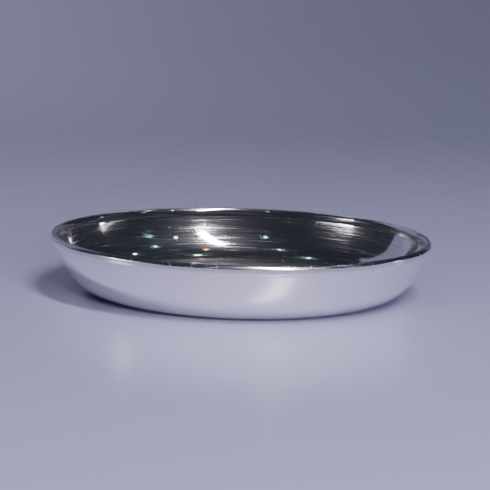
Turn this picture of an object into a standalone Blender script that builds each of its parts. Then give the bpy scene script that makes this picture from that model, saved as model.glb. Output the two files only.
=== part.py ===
"""A small, shallow, round offering plate of silver-plated brass.

Two pieces make it.  The dish is spun from one round sheet: a flat floor, a
sweeping cove, a wall that leans outwards and a short upright lip.  A half-oval
wire is bent into a ring and soldered round the outside of that lip, where it
stiffens the edge and gives the fingers something to hold.

Lengths are in metres and +Z is up.  The origin is the middle of the flat
underside, which is what the plate stands on.
"""

import math

import bmesh
import bpy
from mathutils import Vector

# Overall sizes
RIM_DIAMETER = 0.127            # across the outside of the rim wire
HEIGHT = 0.0193                 # from the table to the top of the rim

# The spun dish; its radii are those of the outside
SHEET = 0.0009                  # gauge of the sheet
COVE_RADIUS = 0.0145            # the tighter sweep, out of the floor
COVE_TURN = math.radians(56.0)
BELLY_RADIUS = 0.024            # the easier sweep, on into the wall
WALL_LEAN = math.radians(21.3)  # the straight wall's lean from upright
LIP_BEND = 0.002                # the bend from the wall to the upright lip

# The rim wire
WIRE_WIDTH = 0.001              # from its flat back to its crown
WIRE_HEIGHT = 0.00335           # top to bottom, along the flat back
WIRE_CLEARANCE = 0.0003         # the solder joint between lip and wire

# Smoothness of the round shapes
TURN_STEPS = 96                 # around the plate
COVE_STEPS = 8
BELLY_STEPS = 3
LIP_STEPS = 2
EDGE_STEPS = 4                  # over the rounded top edge of the sheet
CROWN_STEPS = 8                 # round the outside of the wire

SILVER = (0.87, 0.85, 0.84)

wire_back_radius = RIM_DIAMETER / 2 - WIRE_WIDTH
lip_radius = wire_back_radius - WIRE_CLEARANCE
wire_foot = HEIGHT - WIRE_HEIGHT
upright = math.radians(90.0)


def clear_scene():
    for old in list(bpy.data.objects):
        bpy.data.objects.remove(old, do_unlink=True)


def metal(name, colour, roughness):
    material = bpy.data.materials.new(name)
    material.use_nodes = True
    shader = material.node_tree.nodes["Principled BSDF"]
    shader.inputs["Base Color"].default_value = (*colour, 1.0)
    shader.inputs["Metallic"].default_value = 1.0
    shader.inputs["Roughness"].default_value = roughness
    return material


def along(heading):
    """The unit (radius, height) vector at this angle above level."""
    return Vector((math.cos(heading), math.sin(heading)))


def inward(heading):
    """Square to the heading: straight through the sheet, to the inside."""
    return along(heading + upright)


def bend(skin, radius, turn, steps):
    """Carry the skin on from its last point round an arc that curls up and inwards."""
    point, heading = skin[-1]
    centre = point + radius * inward(heading)
    for i in range(1, steps + 1):
        turned_heading = heading + turn * i / steps
        skin.append((centre - radius * inward(turned_heading), turned_heading))


def outer_skin():
    """(point, heading) pairs up the outside of the sheet, from the floor's edge to the lip."""
    wall_heading = upright - WALL_LEAN
    cove_rise = COVE_RADIUS * (1.0 - math.cos(COVE_TURN))
    belly_rise = BELLY_RADIUS * (math.cos(COVE_TURN) - math.cos(wall_heading))
    wall_length = (wire_foot - cove_rise - belly_rise) / math.sin(wall_heading)
    skin = [(Vector((0.0, 0.0)), 0.0)]
    bend(skin, COVE_RADIUS, COVE_TURN, COVE_STEPS)
    bend(skin, BELLY_RADIUS, wall_heading - COVE_TURN, BELLY_STEPS)
    skin.append((skin[-1][0] + wall_length * along(wall_heading), wall_heading))
    bend(skin, LIP_BEND, WALL_LEAN, LIP_STEPS)
    floor_edge = Vector((lip_radius - skin[-1][0].x, 0.0))
    return [(floor_edge + point, heading) for point, heading in skin]


def dish_section():
    """The closed half section of the sheet, from the axis underneath to the axis inside."""
    skin = outer_skin()
    outside = [point for point, _ in skin]
    inside = [point + SHEET * inward(heading) for point, heading in reversed(skin)]
    edge_radius = SHEET / 2
    edge_centre = Vector((lip_radius - edge_radius, HEIGHT - edge_radius))
    edge = [edge_centre + edge_radius * along(math.pi * i / EDGE_STEPS)
            for i in range(EDGE_STEPS + 1)]
    return [Vector((0.0, 0.0))] + outside + edge + inside + [Vector((0.0, SHEET))]


def wire_section():
    """The closed section of the half-oval wire, up its crown from foot to top."""
    middle = HEIGHT - WIRE_HEIGHT / 2
    section = []
    for i in range(CROWN_STEPS + 1):
        angle = math.pi * (i / CROWN_STEPS - 0.5)
        section.append(Vector((wire_back_radius + WIRE_WIDTH * math.cos(angle),
                               middle + WIRE_HEIGHT / 2 * math.sin(angle))))
    return section


def turned(name, section, material, closed):
    """Spin a section round the plate's axis into one solid object."""
    shape = bmesh.new()
    ring = [shape.verts.new((point.x, 0.0, point.y)) for point in section]
    for i in range(len(ring) - 1):
        shape.edges.new((ring[i], ring[i + 1]))
    if closed:
        shape.edges.new((ring[-1], ring[0]))
    bmesh.ops.spin(shape, geom=shape.verts[:] + shape.edges[:], cent=(0.0, 0.0, 0.0),
                   axis=(0.0, 0.0, 1.0), angle=math.tau, steps=TURN_STEPS, use_merge=True)
    bmesh.ops.remove_doubles(shape, verts=shape.verts, dist=1e-7)
    bmesh.ops.recalc_face_normals(shape, faces=shape.faces)
    mesh = bpy.data.meshes.new(name)
    shape.to_mesh(mesh)
    shape.free()
    mesh.materials.append(material)
    mesh.shade_smooth()
    mesh.set_sharp_from_angle(angle=math.radians(35.0))
    piece = bpy.data.objects.new(name, mesh)
    bpy.context.collection.objects.link(piece)
    return piece


def main():
    clear_scene()
    turned("dish_shell", dish_section(), metal("silver_plate_spun", SILVER, 0.18), closed=False)
    turned("rim_wire", wire_section(), metal("silver_plate_wire", SILVER, 0.12), closed=True)


main()
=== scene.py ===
"""The finished look of a small spun offering plate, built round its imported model.

The dish, its rim wire and the solder between them are turned from drawn
sections, plated in silver that is bright inside and satin outside, and stood
in a plain studio.  Lengths are in metres, +Z is up, and the plate's axis is Z.
"""

import math

import bpy
from mathutils import Matrix, Vector


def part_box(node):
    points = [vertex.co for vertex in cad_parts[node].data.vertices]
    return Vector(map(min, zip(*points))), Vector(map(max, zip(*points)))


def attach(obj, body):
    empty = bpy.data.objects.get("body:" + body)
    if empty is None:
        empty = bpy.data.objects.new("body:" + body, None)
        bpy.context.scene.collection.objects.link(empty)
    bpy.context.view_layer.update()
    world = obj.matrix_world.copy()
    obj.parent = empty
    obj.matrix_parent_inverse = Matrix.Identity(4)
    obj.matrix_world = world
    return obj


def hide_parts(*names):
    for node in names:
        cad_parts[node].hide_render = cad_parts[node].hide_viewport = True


bl_info = {
    "name": "Offering Plate",
    "version": (1, 0, 0),
    "blender": (4, 5, 0),
    "location": "3D View > Sidebar > Plate",
    "description": "Turns a silver-plated offering plate and sets it in a plain studio",
    "category": "Add Mesh",
}

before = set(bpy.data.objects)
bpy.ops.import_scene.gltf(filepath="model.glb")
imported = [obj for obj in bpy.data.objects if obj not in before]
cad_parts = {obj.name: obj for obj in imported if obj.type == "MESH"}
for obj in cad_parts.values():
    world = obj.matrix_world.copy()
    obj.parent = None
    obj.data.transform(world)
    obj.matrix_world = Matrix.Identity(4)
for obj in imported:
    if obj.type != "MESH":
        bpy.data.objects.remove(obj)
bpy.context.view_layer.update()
RIM_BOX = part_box("rim_wire")

BODY = "root"

MM = 0.001
MICRON = 1e-6
UPRIGHT = math.radians(90.0)

# How the rim is dressed
EDGE_ROUND = 0.3 * MM           # radius that eases the sheet's outer edge
EDGE_SLOPE = 1.0 * MM           # how far down from the top the sheet's inside is dressed to a slope
LIP_DRAFT = math.radians(6.0)   # how much the lip's inside leans outwards, below that slope
WIRE_SLOPE = 0.95 * MM          # how far down from the top the wire is dressed to a slope
WIRE_FOOT = 1.8 * MM            # how far up the wire is rounded, from its foot
FOOT_FULLNESS = 0.97            # share of the wire's width that its rounded foot reaches
SLOPE_FACING = (math.radians(21.0), math.radians(43.0))     # how far up a slope faces, foot and brow
SLOPE_SHARE = 0.93              # share of a slope's height below its rounded brow

# How the solder lies in the rim joint
SOLDER_CLEAR = 0.01 * MM        # between the solder and the metal on either side
SOLDER_TOP = 0.30 * MM          # from the top of the rim down to the solder
SOLDER_DIP = 0.06 * MM          # sag of its top, between lip and wire
FILLET_DROP = 0.20 * MM         # how far it runs down the wall, below the wire's foot
FILLET_RISE = 0.35 * MM         # how far up the wire's back its fillet meets the wire
FILLET_HOLLOW = 0.05 * MM       # how far the fillet is hollowed, each way

# Steps along each stretch of a section
FLOOR_STEPS = 12
COVE_STEPS = 40
BELLY_STEPS = 14
WALL_STEPS = 12
LIP_STEPS = 8
EDGE_STEPS = 8
SLOPE_STEPS = 12
BROW_STEPS = 4
FOOT_STEPS = 12
SOLDER_STEPS = 4

# The lathe
LATHE_RADIUS = 0.01             # of the circle that carries a section; any size gives the same piece
JOIN_DISTANCE = 1e-6            # points on the axis that are closer than this become one
CORNER_ANGLE = math.radians(20.0)       # folds sharper than this stay crisp

# The finishes
CELLS_PER_RING = 1.7            # cells of a noise texture in one light and dark pair of rings
ACROSS = 0.25                   # of a turn, so that highlights spread across the rings

# Colours of the lamps
COOL_WHITE = "#F8F5FF"
WARM_WHITE = "#FFFBF8"
PLAIN_WHITE = "#FFFDFC"
CREAM = "#FFF6EE"
GREEN_WHITE = "#C0FFF4"
AMBER = "#FFB040"
PAPER_GREY = "#A9ABD0"


def linear(hex_colour):
    """The scene-linear colour of an sRGB hex value such as #C0FFEE."""
    channels = [int(hex_colour[i:i + 2], 16) / 255.0 for i in (1, 3, 5)]
    return tuple(c / 12.92 if c <= 0.04045 else ((c + 0.055) / 1.055) ** 2.4 for c in channels)


# ---------------------------------------------------------------- settings

class PlateSizes(bpy.types.PropertyGroup):
    """Sizes of the plate, over the whole and of each piece"""

    rim_diameter: bpy.props.FloatProperty(
        name="Rim Diameter", description="Across the outside of the rim wire",
        default=2.0 * RIM_BOX[1].x, unit="LENGTH")
    height: bpy.props.FloatProperty(
        name="Height", description="From the table to the top of the rim",
        default=RIM_BOX[1].z, unit="LENGTH")
    sheet: bpy.props.FloatProperty(
        name="Sheet", description="Gauge of the spun sheet", default=0.9 * MM, unit="LENGTH")
    cove_radius: bpy.props.FloatProperty(
        name="Cove Radius", description="Outside radius of the sweep out of the floor",
        default=14.5 * MM, unit="LENGTH")
    cove_turn: bpy.props.FloatProperty(
        name="Cove Turn", description="How far that sweep turns up from level",
        default=math.radians(56.0), subtype="ANGLE")
    belly_radius: bpy.props.FloatProperty(
        name="Belly Radius", description="Outside radius of the easier sweep into the wall",
        default=24.0 * MM, unit="LENGTH")
    wall_lean: bpy.props.FloatProperty(
        name="Wall Lean", description="The straight wall's lean from upright",
        default=math.radians(21.3), subtype="ANGLE")
    wall_bow: bpy.props.FloatProperty(
        name="Wall Bow", description="How far each half of the wall turns from its chord",
        default=math.radians(2.5), subtype="ANGLE")
    lip_bend: bpy.props.FloatProperty(
        name="Lip Bend", description="Outside radius of the bend from wall to upright lip",
        default=2.0 * MM, unit="LENGTH")
    wire_width: bpy.props.FloatProperty(
        name="Wire Width", description="From the rim wire's flat back to its crown",
        default=1.0 * MM, unit="LENGTH")
    wire_height: bpy.props.FloatProperty(
        name="Wire Height", description="Top to bottom of the rim wire",
        default=RIM_BOX[1].z - RIM_BOX[0].z, unit="LENGTH")
    joint_gap: bpy.props.FloatProperty(
        name="Joint Gap", description="Between the lip and the wire's back",
        default=0.3 * MM, unit="LENGTH")
    steps_round: bpy.props.IntProperty(
        name="Steps Round", description="Faces round the plate", default=320, min=12)


class SilverFinish(bpy.types.PropertyGroup):
    """Colour and working marks of the silver plate"""

    silver: bpy.props.FloatVectorProperty(
        name="Silver", description="Clean silver plate", subtype="COLOR", size=3,
        default=linear("#F8F4F5"), min=0.0, max=1.0)
    # Yellowed plate in random marks, the wire and the solder; on the satin outside it also paints shade
    # round the foot.
    tarnish_and_foot_shade: bpy.props.FloatVectorProperty(
        name="Tarnish", description="Plate that has begun to yellow, in marks, joint and foot",
        subtype="COLOR", size=3, default=linear("#C2BBB6"), min=0.0, max=1.0)
    solder: bpy.props.FloatVectorProperty(
        name="Solder", description="Silver solder in the rim joint", subtype="COLOR", size=3,
        default=linear("#B9B4AE"), min=0.0, max=1.0)
    dust: bpy.props.FloatVectorProperty(
        name="Dust", description="Specks of pale dust lying in the dish", subtype="COLOR", size=3,
        default=linear("#D8D8DC"), min=0.0, max=1.0)
    line_spacing: bpy.props.FloatProperty(
        name="Line Spacing", description="Between the finest spinning lines",
        default=0.24 * MM, unit="LENGTH")
    band_spacing: bpy.props.FloatProperty(
        name="Band Spacing", description="Between the broader marks of the spinning tool",
        default=1.6 * MM, unit="LENGTH")
    speck_spacing: bpy.props.FloatProperty(
        name="Speck Spacing", description="Between specks of dust", default=2.2 * MM, unit="LENGTH")


class StudioSettings(bpy.types.PropertyGroup):
    """The floor, the backdrop and the camera"""

    backdrop: bpy.props.FloatVectorProperty(
        name="Backdrop", description="Matte paper of the floor and the backdrop", subtype="COLOR",
        size=3, default=linear("#ABACCF"), min=0.0, max=1.0)
    room: bpy.props.FloatVectorProperty(
        name="Room", description="The dim room that the plate mirrors", subtype="COLOR", size=3,
        default=linear("#22242F"), min=0.0, max=1.0)
    camera_distance: bpy.props.FloatProperty(
        name="Camera Distance", description="From the camera to the middle of the plate",
        default=0.5715, unit="LENGTH")
    camera_elevation: bpy.props.FloatProperty(
        name="Camera Elevation", description="How far the camera looks down",
        default=math.radians(9.79), subtype="ANGLE")
    camera_roll: bpy.props.FloatProperty(
        name="Camera Roll", description="The camera's turn anticlockwise about its own axis",
        default=math.radians(1.68), subtype="ANGLE")
    focal_length: bpy.props.FloatProperty(
        name="Focal Length", description="Of the lens, on a 36 mm wide sensor, in millimetres",
        default=125.1)


# ---------------------------------------------------------------- nodes

def add_node(tree, kind, inputs=None, **settings):
    """Add a node.  inputs gives its sockets, by name or number, a value or another node's output."""
    made = tree.nodes.new(kind)
    for name, value in settings.items():
        setattr(made, name, value)
    for key, value in (inputs or {}).items():
        if isinstance(value, bpy.types.NodeSocket):
            tree.links.new(value, made.inputs[key])
        else:
            made.inputs[key].default_value = value
    return made


def turning_tree():
    """The lathe: carries a half section, drawn in X and Y, once round the plate's axis."""
    tree = bpy.data.node_groups.new("Turn Section Round Axis", "GeometryNodeTree")
    sockets = tree.interface
    sockets.new_socket("Section", in_out="INPUT", socket_type="NodeSocketObject")
    sockets.new_socket("Steps Round", in_out="INPUT", socket_type="NodeSocketInt")
    sockets.new_socket("Lathe Radius", in_out="INPUT", socket_type="NodeSocketFloat")
    sockets.new_socket("Join Distance", in_out="INPUT", socket_type="NodeSocketFloat")
    sockets.new_socket("Corner Angle", in_out="INPUT", socket_type="NodeSocketFloat")
    sockets.new_socket("Inside Top", in_out="INPUT", socket_type="NodeSocketFloat")
    sockets.new_socket("Outside Finish", in_out="INPUT", socket_type="NodeSocketMaterial")
    sockets.new_socket("Inside Finish", in_out="INPUT", socket_type="NodeSocketMaterial")
    sockets.new_socket("Geometry", in_out="OUTPUT", socket_type="NodeSocketGeometry")
    given = add_node(tree, "NodeGroupInput").outputs

    section = add_node(tree, "GeometryNodeObjectInfo", {"Object": given["Section"]})
    back = add_node(tree, "ShaderNodeMath", {0: given["Lathe Radius"], 1: -1.0}, operation="MULTIPLY")
    shift = add_node(tree, "ShaderNodeCombineXYZ", {"X": back.outputs[0]})
    placed = add_node(tree, "GeometryNodeTransform",
                      {"Geometry": section.outputs["Geometry"], "Translation": shift.outputs[0],
                       "Scale": (1.0, -1.0, 1.0)})
    circle = add_node(tree, "GeometryNodeCurvePrimitiveCircle",
                      {"Resolution": given["Steps Round"], "Radius": given["Lathe Radius"]},
                      mode="RADIUS")
    level = add_node(tree, "GeometryNodeSetCurveNormal", {"Curve": circle.outputs["Curve"]},
                     mode="Z_UP")
    turned = add_node(tree, "GeometryNodeCurveToMesh",
                      {"Curve": level.outputs["Curve"], "Profile Curve": placed.outputs["Geometry"]})
    facing_out = add_node(tree, "GeometryNodeFlipFaces", {"Mesh": turned.outputs["Mesh"]})
    joined = add_node(tree, "GeometryNodeMergeByDistance",
                      {"Geometry": facing_out.outputs["Mesh"], "Distance": given["Join Distance"]})
    smooth = add_node(tree, "GeometryNodeSetShadeSmooth", {"Geometry": joined.outputs["Geometry"]})
    fold = add_node(tree, "GeometryNodeInputMeshEdgeAngle")
    corner = add_node(tree, "FunctionNodeCompare",
                      {0: fold.outputs["Unsigned Angle"], 1: given["Corner Angle"]},
                      data_type="FLOAT", operation="GREATER_THAN")
    crisp = add_node(tree, "GeometryNodeSetShadeSmooth",
                     {"Geometry": smooth.outputs["Geometry"], "Selection": corner.outputs["Result"],
                      "Shade Smooth": False}, domain="EDGE")
    real = add_node(tree, "GeometryNodeRealizeInstances", {"Geometry": crisp.outputs["Geometry"]})
    outside = add_node(tree, "GeometryNodeSetMaterial",
                       {"Geometry": real.outputs["Geometry"], "Material": given["Outside Finish"]})
    inside = add_node(tree, "GeometryNodeSetMaterial",
                      {"Geometry": outside.outputs["Geometry"],
                       "Selection": inside_faces(tree, given["Inside Top"]),
                       "Material": given["Inside Finish"]})
    add_node(tree, "NodeGroupOutput", {"Geometry": inside.outputs["Geometry"]})
    return tree


def inside_faces(tree, inside_top):
    """True on faces below this height that look upwards more than they look away from the axis."""
    position = add_node(tree, "GeometryNodeInputPosition")
    place = add_node(tree, "ShaderNodeSeparateXYZ", {0: position.outputs[0]})
    spoke = add_node(tree, "ShaderNodeCombineXYZ", {"X": place.outputs["X"], "Y": place.outputs["Y"]})
    away = add_node(tree, "ShaderNodeVectorMath", {0: spoke.outputs[0]}, operation="NORMALIZE")
    facing = add_node(tree, "GeometryNodeInputNormal")
    outward = add_node(tree, "ShaderNodeVectorMath",
                       {0: facing.outputs["Normal"], 1: away.outputs["Vector"]},
                       operation="DOT_PRODUCT")
    upward = add_node(tree, "ShaderNodeSeparateXYZ", {0: facing.outputs["Normal"]})
    faces_in = add_node(tree, "FunctionNodeCompare",
                        {0: upward.outputs["Z"], 1: outward.outputs["Value"]},
                        data_type="FLOAT", operation="GREATER_THAN")
    below = add_node(tree, "FunctionNodeCompare", {0: place.outputs["Z"], 1: inside_top},
                     data_type="FLOAT", operation="LESS_THAN")
    both = add_node(tree, "FunctionNodeBooleanMath",
                    {0: faces_in.outputs["Result"], 1: below.outputs["Result"]}, operation="AND")
    return both.outputs["Boolean"]


# ---------------------------------------------------------------- sections

def along(heading):
    """The unit (radius, height) vector at this angle above level."""
    return Vector((math.cos(heading), math.sin(heading)))


def inward(heading):
    """Square to the heading: straight through the sheet, to the inside."""
    return along(heading + UPRIGHT)


def bend(skin, radius, turn, steps):
    """Carry the skin on from its last point round an arc that curls up and inwards."""
    point, heading = skin[-1]
    centre = point + radius * inward(heading)
    for i in range(1, steps + 1):
        turned_heading = heading + turn * i / steps
        skin.append((centre - radius * inward(turned_heading), turned_heading))


def run(skin, length, steps):
    """Carry the skin straight on."""
    point, heading = skin[-1]
    for i in range(1, steps + 1):
        skin.append((point + along(heading) * length * i / steps, heading))


def lip_radius(sizes):
    return sizes.rim_diameter / 2 - sizes.wire_width - sizes.joint_gap


def outer_skin(sizes):
    """(point, heading) pairs up the outside of the sheet, from the axis to the upright lip."""
    wall_heading = UPRIGHT - sizes.wall_lean
    belly_end = wall_heading - sizes.wall_bow
    cove_rise = sizes.cove_radius * (1.0 - math.cos(sizes.cove_turn))
    belly_rise = sizes.belly_radius * (math.cos(sizes.cove_turn) - math.cos(belly_end))
    wire_foot = sizes.height - sizes.wire_height
    wall_length = (wire_foot - cove_rise - belly_rise) / math.sin(wall_heading)
    sweep = [(Vector((0.0, 0.0)), 0.0)]
    bend(sweep, sizes.cove_radius, sizes.cove_turn, COVE_STEPS)
    bend(sweep, sizes.belly_radius, belly_end - sizes.cove_turn, BELLY_STEPS)
    bend(sweep, wall_length / 2 / math.sin(sizes.wall_bow), 2 * sizes.wall_bow, WALL_STEPS)
    bend(sweep, sizes.lip_bend, sizes.wall_lean - sizes.wall_bow, LIP_STEPS)
    floor_radius = lip_radius(sizes) - sweep[-1][0].x
    floor_edge = Vector((floor_radius, 0.0))
    skin = [(Vector((0.0, 0.0)), 0.0)]
    run(skin, floor_radius, FLOOR_STEPS)
    skin += [(floor_edge + point, heading) for point, heading in sweep[1:]]
    return skin


def dressed_slope(foot, top):
    """From a crisp corner up to the top: a gently domed slope, then its rounded brow."""
    low, high = SLOPE_FACING
    side = math.copysign(1.0, foot.x - top.x)
    rise = SLOPE_SHARE * (top.y - foot.y) / SLOPE_STEPS
    points = [foot]
    for i in range(SLOPE_STEPS):
        angle = low + (high - low) * (i + 0.5) / SLOPE_STEPS
        points.append(points[-1] + Vector((-side * rise * math.tan(angle), rise)))
    brow = points[-1]
    for i in range(1, BROW_STEPS + 1):
        angle = UPRIGHT * i / BROW_STEPS
        points.append(Vector((top.x + (brow.x - top.x) * math.cos(angle),
                              brow.y + (top.y - brow.y) * math.sin(angle))))
    return points


def dish_section(sizes):
    """The half section of the sheet, from the axis underneath to the axis inside.

    The sheet has one gauge up to the lip.  The lip is thinned from inside: it
    leans out by its draft, and then slopes to the top.
    """
    skin = outer_skin(sizes)
    outside = [point for point, _ in skin]
    inside = [point + sizes.sheet * inward(heading) for point, heading in skin
              if heading < UPRIGHT - LIP_DRAFT]
    crest = Vector((lip_radius(sizes) - EDGE_ROUND, sizes.height))
    edge_centre = crest - Vector((0.0, EDGE_ROUND))
    edge = [edge_centre + EDGE_ROUND * along(UPRIGHT * i / EDGE_STEPS) for i in range(EDGE_STEPS + 1)]
    slope_foot = sizes.height - EDGE_SLOPE
    thinning = (slope_foot - inside[-1].y) * math.tan(LIP_DRAFT)
    slope = dressed_slope(Vector((inside[-1].x + thinning, slope_foot)), crest)
    return outside + edge + slope[-2::-1] + inside[::-1]


def wire_section(sizes):
    """The closed section of the rim wire: a rounded foot, an upright face and a gently domed slope."""
    back = sizes.rim_diameter / 2 - sizes.wire_width
    foot = sizes.height - sizes.wire_height
    section = [Vector((back, foot))]
    for i in range(1, FOOT_STEPS + 1):
        angle = UPRIGHT * i / FOOT_STEPS
        section.append(Vector((back + sizes.wire_width * math.sin(angle) * FOOT_FULLNESS,
                               foot + WIRE_FOOT * (1.0 - math.cos(angle)))))
    crown = Vector((back + sizes.wire_width, sizes.height - WIRE_SLOPE))
    return section + dressed_slope(crown, Vector((back, sizes.height)))


def solder_section(sizes):
    """The closed section of the solder: it fills the joint and is hollow at both ends."""
    near_wire = sizes.rim_diameter / 2 - sizes.wire_width - SOLDER_CLEAR
    wire_foot = sizes.height - sizes.wire_height
    against_lip = [point - SOLDER_CLEAR * inward(heading) for point, heading in outer_skin(sizes)
                   if point.y > wire_foot - FILLET_DROP]
    shares = [i / SOLDER_STEPS for i in range(SOLDER_STEPS + 1)]
    start = against_lip[0]
    end = Vector((near_wire, wire_foot + FILLET_RISE))
    hollow = Vector((-FILLET_HOLLOW, FILLET_HOLLOW))
    fillet = [start.lerp(end, t) + hollow * math.sin(math.pi * t) for t in shares]
    top = sizes.height - SOLDER_TOP
    near_lip = against_lip[-1].x
    sagging_top = [Vector((near_wire + (near_lip - near_wire) * t,
                           top - SOLDER_DIP * math.sin(math.pi * t))) for t in shares]
    return fillet + sagging_top + against_lip[:0:-1]


def section_curve(name, points, closed):
    """A drawn section as a curve in X and Y."""
    drawing = bpy.data.curves.new(name, "CURVE")
    drawing.dimensions = "3D"
    line = drawing.splines.new("POLY")
    line.points.add(len(points) - 1)
    for spot, point in zip(line.points, points):
        spot.co = (point.x, point.y, 0.0, 1.0)
    line.use_cyclic_u = closed
    drawn = bpy.data.objects.new(name, drawing)
    bpy.context.scene.collection.objects.link(drawn)
    return drawn


def turn(name, points, closed, outside, inside):
    """Turn a section into a finished piece: one plain mesh at the origin, closed and facing out."""
    sizes = bpy.context.scene.plate_sizes
    drawn = section_curve(name + "_section", points, closed)
    blank = bpy.data.objects.new(name + "_blank", bpy.data.meshes.new(name + "_blank"))
    bpy.context.scene.collection.objects.link(blank)
    lathe = blank.modifiers.new("Lathe", "NODES")
    lathe.node_group = turning_tree()
    settings = {
        "Section": drawn,
        "Steps Round": sizes.steps_round,
        "Lathe Radius": LATHE_RADIUS,
        "Join Distance": JOIN_DISTANCE,
        "Corner Angle": CORNER_ANGLE,
        "Inside Top": sizes.height - sizes.sheet / 2,
        "Outside Finish": outside,
        "Inside Finish": inside,
    }
    for item in lathe.node_group.interface.items_tree:
        if item.in_out == "INPUT":
            lathe[item.identifier] = settings[item.name]
    graph = bpy.context.evaluated_depsgraph_get()
    mesh = bpy.data.meshes.new_from_object(blank.evaluated_get(graph), depsgraph=graph)
    if not mesh.polygons:
        raise RuntimeError(name + " came off the lathe empty")
    mesh.name = name
    bpy.data.node_groups.remove(lathe.node_group)
    bpy.data.objects.remove(blank)
    bpy.data.objects.remove(drawn)
    piece = bpy.data.objects.new(name, mesh)
    bpy.context.scene.collection.objects.link(piece)
    return piece


# ---------------------------------------------------------------- finishes

def new_finish(name):
    """A material with only its output and a Principled shader; returns all three."""
    material = bpy.data.materials.new(name)
    material.use_nodes = True
    tree = material.node_tree
    tree.nodes.clear()
    shader = add_node(tree, "ShaderNodeBsdfPrincipled")
    add_node(tree, "ShaderNodeOutputMaterial", {"Surface": shader.outputs["BSDF"]})
    return material, tree, shader


def lathe_place(tree):
    """Where a point is as the lathe sees it: (its unit spoke, its radius plus its height)."""
    place = add_node(tree, "ShaderNodeTexCoord").outputs["Object"]
    parts = add_node(tree, "ShaderNodeSeparateXYZ", {0: place})
    flat = add_node(tree, "ShaderNodeCombineXYZ", {"X": parts.outputs["X"], "Y": parts.outputs["Y"]})
    spoke = add_node(tree, "ShaderNodeVectorMath", {0: flat.outputs[0]}, operation="NORMALIZE")
    radius = add_node(tree, "ShaderNodeVectorMath", {0: flat.outputs[0]}, operation="LENGTH")
    travel = add_node(tree, "ShaderNodeMath", {0: radius.outputs["Value"], 1: parts.outputs["Z"]})
    return spoke.outputs["Vector"], travel.outputs[0]


def ring_noise(tree, spoke, travel, spacing, breaks, seed, detail=2.0):
    """Noise drawn out into rings round the axis, a spacing apart.

    The larger breaks is, the sooner a ring changes along its length.
    """
    across = add_node(tree, "ShaderNodeMath", {0: travel, 1: CELLS_PER_RING / spacing, 2: seed},
                      operation="MULTIPLY_ADD")
    lift = add_node(tree, "ShaderNodeCombineXYZ", {"Z": across.outputs[0]})
    place = add_node(tree, "ShaderNodeVectorMath",
                     {0: spoke, 1: (breaks, breaks, breaks), 2: lift.outputs[0]},
                     operation="MULTIPLY_ADD")
    return add_node(tree, "ShaderNodeTexNoise",
                    {"Vector": place.outputs["Vector"], "Scale": 1.0, "Detail": detail,
                     "Roughness": 0.6}).outputs["Fac"]


def plain_noise(tree, per_mm, detail):
    """Noise with this many cells to the millimetre, the same in every direction."""
    place = add_node(tree, "ShaderNodeTexCoord").outputs["Object"]
    return add_node(tree, "ShaderNodeTexNoise",
                    {"Vector": place, "Scale": per_mm / MM, "Detail": detail}).outputs["Fac"]


def ranged(tree, value, low, high, new_low, new_high):
    """The value mapped from one range to another, and held inside it."""
    return add_node(tree, "ShaderNodeMapRange",
                    {"Value": value, "From Min": low, "From Max": high,
                     "To Min": new_low, "To Max": new_high}).outputs["Result"]


def blended(tree, amount, first, second):
    """A colour between two colours or colour sockets."""
    made = add_node(tree, "ShaderNodeMix", {0: amount}, data_type="RGBA")
    for socket, colour in ((6, first), (7, second)):
        if isinstance(colour, bpy.types.NodeSocket):
            tree.links.new(colour, made.inputs[socket])
        else:
            made.inputs[socket].default_value = (*colour, 1.0)
    return made.outputs[2]


def raised(tree, height, distance, onto=None):
    """A bump of this real depth in metres, laid over another bump if one is given."""
    inputs = {"Height": height, "Distance": distance, "Strength": 1.0}
    if onto is not None:
        inputs["Normal"] = onto
    return add_node(tree, "ShaderNodeBump", inputs).outputs["Normal"]


def brushed_round(tree, shader, amount):
    """Spread the shader's highlights across the rings that were left on the lathe."""
    circling = add_node(tree, "ShaderNodeTangent", direction_type="RADIAL", axis="Z")
    tree.links.new(circling.outputs["Tangent"], shader.inputs["Tangent"])
    shader.inputs["Anisotropic"].default_value = amount
    shader.inputs["Anisotropic Rotation"].default_value = ACROSS


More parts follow.
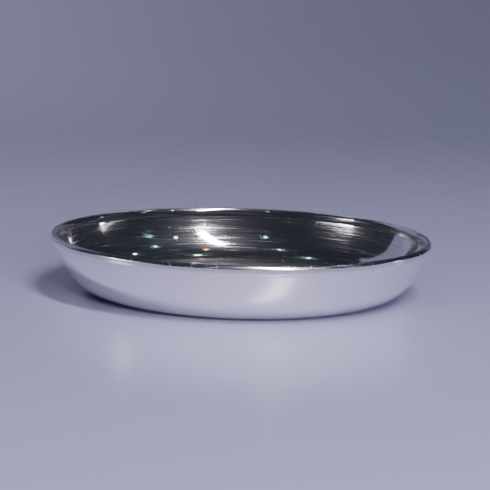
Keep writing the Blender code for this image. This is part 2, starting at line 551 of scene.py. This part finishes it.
def spun_inside():
    """Silver plate over spun brass, burnished on the lathe and thinly lacquered.

    It mirrors the room almost cleanly.  The fine rings that the spinning tool
    left break lamps up into short bright dashes, and its broader marks bend
    them.  The duller rings and the slight haze of the lacquer hold a soft
    glow round each lamp, and a little dust has settled in the dish.
    """
    look = bpy.context.scene.silver_finish
    material, tree, shader = new_finish("silver_plate_spun_bright")
    burnished, dulled = 0.045, 0.30     # roughness between the dull rings, and in them
    spoke, travel = lathe_place(tree)
    fine = ring_noise(tree, spoke, travel, look.line_spacing, breaks=5.0, seed=0.0)
    broad = ring_noise(tree, spoke, travel, look.band_spacing, breaks=1.5, seed=40.0, detail=1.0)
    dull = ring_noise(tree, spoke, travel, 1.7 * look.line_spacing, breaks=2.5, seed=90.0)
    dull_rings = ranged(tree, dull, 0.50, 0.74, burnished, dulled)

    place = add_node(tree, "ShaderNodeTexCoord").outputs["Object"]
    cells = add_node(tree, "ShaderNodeTexVoronoi",
                     {"Vector": place, "Scale": 1.0 / look.speck_spacing})
    chance = add_node(tree, "ShaderNodeSeparateColor", {0: cells.outputs["Color"]})
    reach = ranged(tree, chance.outputs[0], 0.75, 1.0, 0.0, 0.07)   # one cell in four holds a speck
    speck = add_node(tree, "ShaderNodeMath", {0: cells.outputs["Distance"], 1: reach},
                     operation="LESS_THAN").outputs[0]
    metal = add_node(tree, "ShaderNodeMath", {0: 1.0, 1: speck}, operation="SUBTRACT").outputs[0]
    rough = add_node(tree, "ShaderNodeMath", {0: dull_rings, 1: speck}, operation="MAXIMUM").outputs[0]
    silver = blended(tree, ranged(tree, broad, 0.35, 0.75, 0.0, 0.25), look.silver, look.tarnish_and_foot_shade)
    tree.links.new(blended(tree, speck, silver, look.dust), shader.inputs["Base Color"])
    tree.links.new(metal, shader.inputs["Metallic"])
    tree.links.new(rough, shader.inputs["Roughness"])
    marks = raised(tree, broad, 3.5 * MICRON)
    tree.links.new(raised(tree, fine, 2.0 * MICRON, marks), shader.inputs["Normal"])
    brushed_round(tree, shader, 0.5)
    shader.inputs["Coat Weight"].default_value = 0.7        # the lacquer
    shader.inputs["Coat Roughness"].default_value = 0.40
    return material


def satin_outside():
    """Silver plate left as the spinning and a soft buff made it: satin outside.

    It takes the colour of the table softly, with hardly a line to be seen, and
    it is painted darker and warmer round the foot, as shade where it meets the table.
    """
    look = bpy.context.scene.silver_finish
    material, tree, shader = new_finish("silver_plate_satin")
    buffed, worn = 0.13, 0.19           # roughness, from cloud to cloud
    foot_shade_top = 3.0 * MM                 # the painted foot shade has faded out this high up
    spoke, travel = lathe_place(tree)
    rings = ring_noise(tree, spoke, travel, look.line_spacing, breaks=4.0, seed=10.0)
    cloudy = ring_noise(tree, spoke, travel, 4.0 * look.band_spacing, breaks=2.0, seed=70.0)
    place = add_node(tree, "ShaderNodeTexCoord").outputs["Object"]
    height = add_node(tree, "ShaderNodeSeparateXYZ", {0: place}).outputs["Z"]
    # Painted shade where the foot meets the table: the tarnish colour, strongest at the bottom and gone
    # by 3 mm up, broken by the cloud noise.
    foot = ranged(tree, height, 0.2 * MM, foot_shade_top, 0.7, 0.0)
    painted_foot_shade = add_node(tree, "ShaderNodeMath", {0: foot, 1: cloudy}, operation="MULTIPLY").outputs[0]
    tree.links.new(blended(tree, painted_foot_shade, look.silver, look.tarnish_and_foot_shade), shader.inputs["Base Color"])
    tree.links.new(ranged(tree, cloudy, 0.3, 0.7, buffed, worn), shader.inputs["Roughness"])
    tree.links.new(raised(tree, rings, 1.5 * MICRON), shader.inputs["Normal"])
    shader.inputs["Metallic"].default_value = 1.0
    brushed_round(tree, shader, 0.3)
    return material


def burnished_wire():
    """Drawn silver-plated wire, burnished bright by handling.

    A soft gleam runs round it, broken by fine scratches along its length and a
    few small nicks.
    """
    look = bpy.context.scene.silver_finish
    material, tree, shader = new_finish("silver_plate_burnished_wire")
    handled, scratched = 0.16, 0.22     # roughness between the scratches, and in them
    rougher_in_nicks = 0.12
    scratch_spacing = 0.12 * MM
    spoke, travel = lathe_place(tree)
    scratches = ring_noise(tree, spoke, travel, scratch_spacing, breaks=9.0, seed=20.0)
    nicks = plain_noise(tree, per_mm=0.9, detail=3.0)
    tint = ranged(tree, scratches, 0.4, 0.8, 0.0, 0.3)
    tree.links.new(blended(tree, tint, look.silver, look.tarnish_and_foot_shade), shader.inputs["Base Color"])
    nicked = ranged(tree, nicks, 0.62, 0.70, 0.0, 1.0)
    rough = add_node(tree, "ShaderNodeMath",
                     {0: nicked, 1: rougher_in_nicks,
                      2: ranged(tree, scratches, 0.3, 0.7, handled, scratched)},
                     operation="MULTIPLY_ADD").outputs[0]
    tree.links.new(rough, shader.inputs["Roughness"])
    scored = raised(tree, scratches, 1.2 * MICRON)
    tree.links.new(raised(tree, nicks, -2.5 * MICRON, scored), shader.inputs["Normal"])
    shader.inputs["Metallic"].default_value = 1.0
    return material


def dull_solder():
    """Silver solder as it set in the joint: greyer and duller than the plate, and grainy."""
    look = bpy.context.scene.silver_finish
    material, tree, shader = new_finish("silver_solder")
    smoothest, roughest = 0.35, 0.55
    grain = plain_noise(tree, per_mm=2.5, detail=4.0)
    runs = plain_noise(tree, per_mm=0.22, detail=2.0)
    tint = ranged(tree, runs, 0.35, 0.65, 0.2, 0.9)
    tree.links.new(blended(tree, tint, look.solder, look.tarnish_and_foot_shade), shader.inputs["Base Color"])
    tree.links.new(ranged(tree, grain, 0.3, 0.7, smoothest, roughest), shader.inputs["Roughness"])
    grainy = raised(tree, grain, 8.0 * MICRON)
    tree.links.new(raised(tree, runs, 30.0 * MICRON, grainy), shader.inputs["Normal"])
    shader.inputs["Metallic"].default_value = 1.0
    return material


def satin_paper():
    """Smooth backdrop paper with a slight calendered sheen, and its faint uneven pulp."""
    studio = bpy.context.scene.studio_settings
    material, tree, shader = new_finish("backdrop_paper_satin")
    smoothest, roughest = 0.19, 0.23
    deeper = tuple(0.965 * channel for channel in studio.backdrop)
    pulp = plain_noise(tree, per_mm=0.06, detail=5.0)
    fibre = plain_noise(tree, per_mm=1.5, detail=2.0)
    tree.links.new(blended(tree, pulp, studio.backdrop, deeper), shader.inputs["Base Color"])
    tree.links.new(ranged(tree, pulp, 0.3, 0.7, smoothest, roughest), shader.inputs["Roughness"])
    tree.links.new(raised(tree, fibre, 1.0 * MICRON), shader.inputs["Normal"])
    return material


# ---------------------------------------------------------------- pieces

class PLATE_OT_dish(bpy.types.Operator):
    """Spin the dish: flat floor, cove, leaning wall and upright lip"""

    bl_idname = "plate.dish"
    bl_label = "Spin Dish"

    def execute(self, context):
        points = dish_section(context.scene.plate_sizes)
        dish = turn("plate_dish", points, False, satin_outside(), spun_inside())
        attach(dish, BODY)
        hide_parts("dish_shell")
        return {"FINISHED"}


class PLATE_OT_wire(bpy.types.Operator):
    """Bend the dressed wire into a ring round the outside of the lip"""

    bl_idname = "plate.wire"
    bl_label = "Fit Rim Wire"

    def execute(self, context):
        finish = burnished_wire()
        wire = turn("plate_rim_wire", wire_section(context.scene.plate_sizes), True, finish, finish)
        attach(wire, BODY)
        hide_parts("rim_wire")
        return {"FINISHED"}


class PLATE_OT_solder(bpy.types.Operator):
    """Run solder into the joint between the lip and the wire"""

    bl_idname = "plate.solder"
    bl_label = "Solder Rim"

    def execute(self, context):
        finish = dull_solder()
        seam = turn("plate_rim_solder", solder_section(context.scene.plate_sizes), True, finish, finish)
        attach(seam, BODY)
        return {"FINISHED"}


# ---------------------------------------------------------------- stage

def towards(azimuth, elevation):
    """The direction at these degrees to the right of the camera's side, and above level."""
    round_right = math.radians(azimuth)
    rise = math.radians(elevation)
    return Vector((math.sin(round_right) * math.cos(rise), -math.cos(round_right) * math.cos(rise),
                   math.sin(rise)))


def hang_light(name, place, size, watts, colour, seen=False, lights=True, long_way=None,
               aim=(0, 0, 0), spread=180):
    """An area light at a place (azimuth, elevation, distance), facing the plate or the aim.

    One size makes a disk; two make a rectangle, as wide and as high, that
    stands upright or along the long way.  The plate mirrors a light only if
    it is seen, and it lights the paper only if lights is true.  The spread is
    the width of its beam, in degrees.
    """
    lamp = bpy.data.lights.new(name, "AREA")
    lamp.shape = "DISK" if len(size) == 1 else "RECTANGLE"
    lamp.size = size[0]
    if len(size) == 2:
        lamp.size_y = size[1]
    lamp.energy = watts
    lamp.color = linear(colour)
    lamp.spread = math.radians(spread)
    hung = bpy.data.objects.new(name, lamp)
    bpy.context.scene.collection.objects.link(hung)
    azimuth, elevation, distance = place
    spot = towards(azimuth, elevation) * distance
    back = (spot - Vector(aim)).normalized()
    side = Vector((0.0, 0.0, 1.0)) if long_way is None else long_way
    across = side.cross(back).normalized()
    up = back.cross(across)
    hung.matrix_world = Matrix.Translation(spot) @ Matrix((across, up, back)).transposed().to_4x4()
    hung.visible_camera = False
    hung.visible_glossy = seen
    hung.visible_diffuse = lights


def paper_sweep():
    """One sheet of backdrop paper: it lies on the table and curves up behind."""
    left, right = -2.5, 0.9
    front, curve_start = -1.6, 0.55
    radius, rise = 1.30, math.radians(45.0)
    curve_steps = 32
    line = [(front, 0.0), (-0.4, 0.0), (0.0, 0.0)]
    for i in range(curve_steps + 1):
        angle = rise * i / curve_steps
        line.append((curve_start + radius * math.sin(angle), radius * (1.0 - math.cos(angle))))
    corners = [(x, y, z) for y, z in line for x in (left, right)]
    faces = [(2 * i, 2 * i + 1, 2 * i + 3, 2 * i + 2) for i in range(len(line) - 1)]
    mesh = bpy.data.meshes.new("paper_sweep")
    mesh.from_pydata(corners, [], faces)
    mesh.materials.append(satin_paper())
    mesh.shade_smooth()
    sheet = bpy.data.objects.new("paper_sweep", mesh)
    bpy.context.scene.collection.objects.link(sheet)
    return sheet


CEILING_LAMPS = (       # azimuth and elevation of each, in degrees
    (74, 34), (55, 43), (86, 51), (123, 50), (150, 69), (-20, 45), (-59, 71), (-130, 65),
)
STRIP_ENDS = (32, 39.5), (22, 67)       # azimuth and elevation of each


def light_studio():
    """Hang the lamps that the dish mirrors, and the fills that only light the scene.

    The long strip does both: it is the bright bar in the dish, and it lights
    the paper.  The other lamps that are seen, and the pale card at the side,
    are there to be mirrored.  The fills are soft light from the room.
    """
    low, high = [towards(*end) for end in STRIP_ENDS]
    middle = (low + high).normalized()
    azimuth = math.degrees(math.atan2(middle.x, -middle.y))
    elevation = math.degrees(math.asin(middle.z))
    hang_light("strip_softbox", (azimuth, elevation, 1.0), (0.08, 0.49), 10.3, COOL_WHITE,
               seen=True, long_way=high - low)
    hang_light("left_softbox", (-76, 21, 1.2), (0.24, 0.08), 2.4, COOL_WHITE, seen=True, lights=False)
    hang_light("left_glow", (-62, 25, 1.3), (0.36, 0.03), 0.15, COOL_WHITE, seen=True, lights=False)
    hang_light("right_lamp", (107, 16, 1.5), (0.10, 0.06), 0.25, COOL_WHITE, seen=True, lights=False)
    hang_light("right_glow", (98, 19, 1.5), (0.60, 0.03), 0.07, COOL_WHITE, seen=True, lights=False)
    hang_light("ceiling_bounce", (-60, 60, 1.0), (0.8, 0.8), 2.1, WARM_WHITE, aim=(-0.2, 0.1, 0.0))
    hang_light("front_fill", (26, 14, 0.9), (0.5, 0.3), 6.2, PLAIN_WHITE)
    hang_light("back_fill", (-140, 35, 0.9), (0.3, 0.3), 0.5, PLAIN_WHITE,
               aim=(-0.35, 1.0, 0.0), spread=100)
    hang_light("pool_fill", (6, 26, 0.5), (0.06, 0.02), 0.015, CREAM,
               aim=(0.006, -0.054, 0.0), spread=15)
    for number, (azimuth, elevation) in enumerate(CEILING_LAMPS):
        hang_light("ceiling_lamp_%d" % number, (azimuth, elevation, 2.0), (0.045,), 0.16, GREEN_WHITE,
                   seen=True, lights=False)
    hang_light("warm_lamp", (72, 76, 2.0), (0.045,), 0.14, AMBER, seen=True, lights=False)
    hang_light("side_card", (-138, 25, 1.3), (0.72, 0.85), 0.85, PAPER_GREY, seen=True, lights=False)


def camera_axes(forward, roll):
    """The camera's right and up when it looks along forward, turned anticlockwise by roll."""
    right = forward.cross(Vector((0.0, 0.0, 1.0))).normalized()
    up = right.cross(forward).normalized()
    return (right * math.cos(roll) + up * math.sin(roll), up * math.cos(roll) - right * math.sin(roll))


def place_camera(studio, middle):
    """Stand the camera in front, looking a little above and to the right of the plate's middle."""
    aim_right, aim_up = 1.54 * MM, 5.87 * MM
    rise = studio.camera_elevation
    eye = middle + studio.camera_distance * Vector((0.0, -math.cos(rise), math.sin(rise)))
    right, up = camera_axes(middle - eye, studio.camera_roll)
    forward = (middle + aim_right * right + aim_up * up - eye).normalized()
    right, up = camera_axes(forward, studio.camera_roll)
    lens = bpy.data.cameras.new("camera")
    lens.sensor_width = 36.0
    lens.lens = studio.focal_length
    lens.clip_start = 0.01
    camera = bpy.data.objects.new("camera", lens)
    bpy.context.scene.collection.objects.link(camera)
    camera.matrix_world = (Matrix.Translation(eye)
                           @ Matrix((right, up, -forward)).transposed().to_4x4())
    bpy.context.scene.camera = camera


class PLATE_OT_stage(bpy.types.Operator):
    """Set the paper sweep, the lights and the camera"""

    bl_idname = "plate.stage"
    bl_label = "Set Stage"

    def execute(self, context):
        studio = context.scene.studio_settings
        paper_sweep()
        room = bpy.data.worlds.new("room")
        room.use_nodes = True
        backdrop = room.node_tree.nodes["Background"]
        backdrop.inputs["Color"].default_value = (*studio.room, 1.0)
        backdrop.inputs["Strength"].default_value = 1.0
        context.scene.world = room
        light_studio()
        place_camera(studio, Vector((0.0, 0.0, context.scene.plate_sizes.height / 2)))
        return {"FINISHED"}


class PLATE_PT_panel(bpy.types.Panel):
    """The sidebar's list of sizes, finishes and making steps"""

    bl_idname = "PLATE_PT_panel"
    bl_label = "Offering Plate"
    bl_space_type = "VIEW_3D"
    bl_region_type = "UI"
    bl_category = "Plate"

    def draw(self, context):
        layout = self.layout
        for group in (context.scene.plate_sizes, context.scene.silver_finish,
                      context.scene.studio_settings):
            box = layout.box()
            for name in group.__annotations__:
                box.prop(group, name)
        for operator in (PLATE_OT_dish, PLATE_OT_wire, PLATE_OT_solder, PLATE_OT_stage):
            layout.operator(operator.bl_idname)


CLASSES = (PlateSizes, SilverFinish, StudioSettings, PLATE_OT_dish, PLATE_OT_wire, PLATE_OT_solder,
           PLATE_OT_stage, PLATE_PT_panel)


def register():
    for made in CLASSES:
        bpy.utils.register_class(made)
    bpy.types.Scene.plate_sizes = bpy.props.PointerProperty(type=PlateSizes)
    bpy.types.Scene.silver_finish = bpy.props.PointerProperty(type=SilverFinish)
    bpy.types.Scene.studio_settings = bpy.props.PointerProperty(type=StudioSettings)


def unregister():
    del bpy.types.Scene.studio_settings
    del bpy.types.Scene.silver_finish
    del bpy.types.Scene.plate_sizes
    for made in reversed(CLASSES):
        bpy.utils.unregister_class(made)


def main():
    register()
    bpy.ops.plate.dish()
    bpy.ops.plate.wire()
    bpy.ops.plate.solder()
    bpy.ops.plate.stage()


if __name__ == "__main__":
    main()
